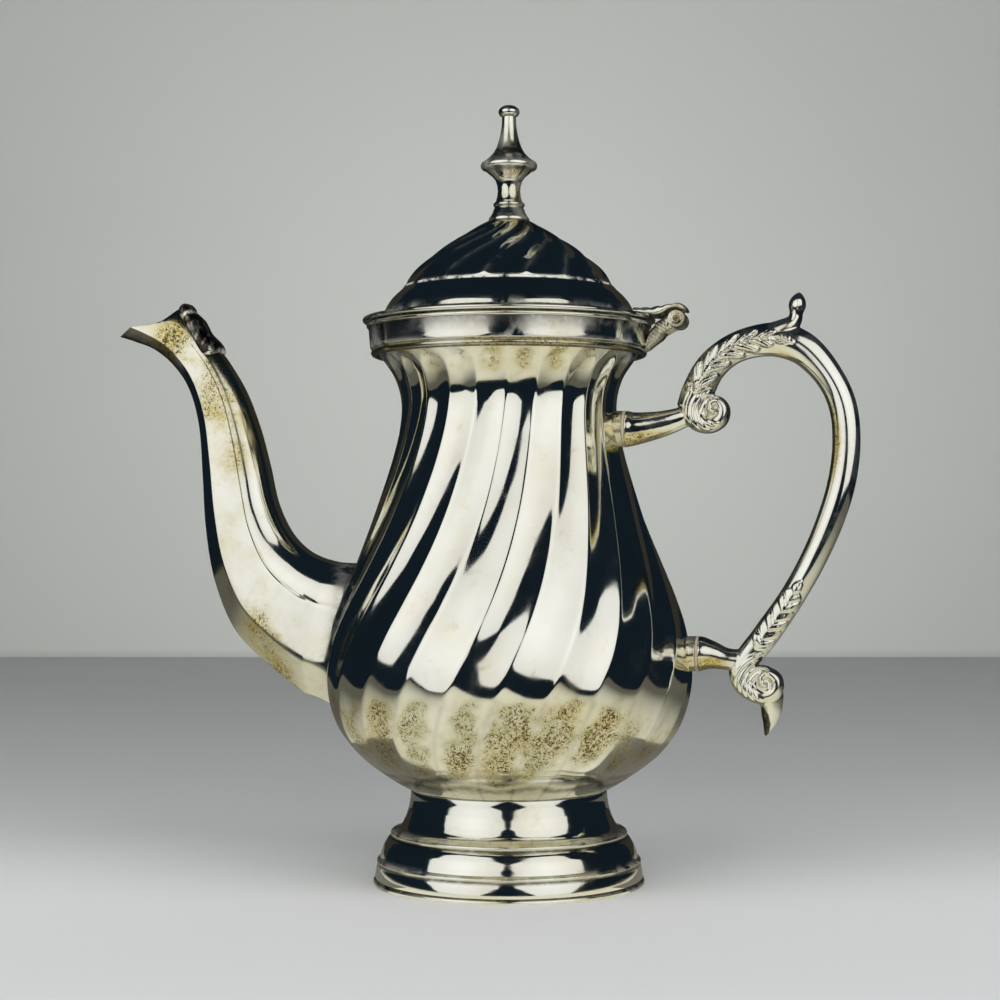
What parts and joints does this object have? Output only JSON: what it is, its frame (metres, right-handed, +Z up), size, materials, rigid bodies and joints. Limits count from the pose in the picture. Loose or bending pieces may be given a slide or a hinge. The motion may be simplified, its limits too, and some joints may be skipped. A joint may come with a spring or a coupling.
{
  "type": "coffee pot",
  "caption": "Footed metal coffee pot with swirled flutes, hinged domed lid with a turned finial, swan-neck spout and scrolled side handle.",
  "frame": {"origin": "centre of the ring on which the foot stands", "axes": "+Z up along the pot's axis, +X to the handle, -X to the spout, +Y to the left seen with the handle behind"},
  "size_m": [0.2435, 0.1166, 0.2482],
  "materials": {
    "silver_plate": "polished, aged silver plate",
    "bone": "satin bone"
  },
  "bodies": {
    "pot": {"foot": "silver_plate", "foot_rim_wire": "silver_plate", "body_shell": "silver_plate", "neck_bead": "silver_plate", "neck_band": "silver_plate", "spout": "silver_plate", "spout_crest": "silver_plate", "upper_socket": "silver_plate", "lower_socket": "silver_plate", "upper_insulator": "bone", "lower_insulator": "bone", "handle": "silver_plate", "hinge_bracket": "silver_plate", "hinge_pin": "silver_plate"},
    "lid": {"lid_dome": "silver_plate", "lid_rim": "silver_plate", "lid_bezel": "silver_plate", "lid_leaf": "silver_plate", "finial": "silver_plate", "finial_washer": "silver_plate", "finial_nut": "silver_plate"}
  },
  "joints": [
    {"name": "lid_hinge", "type": "hinge", "parent": "pot", "child": "lid", "pos_m": [0.0545, 0, 0.178], "axis": [0, 1, 0], "range_deg": [0, 105]}
  ]
}
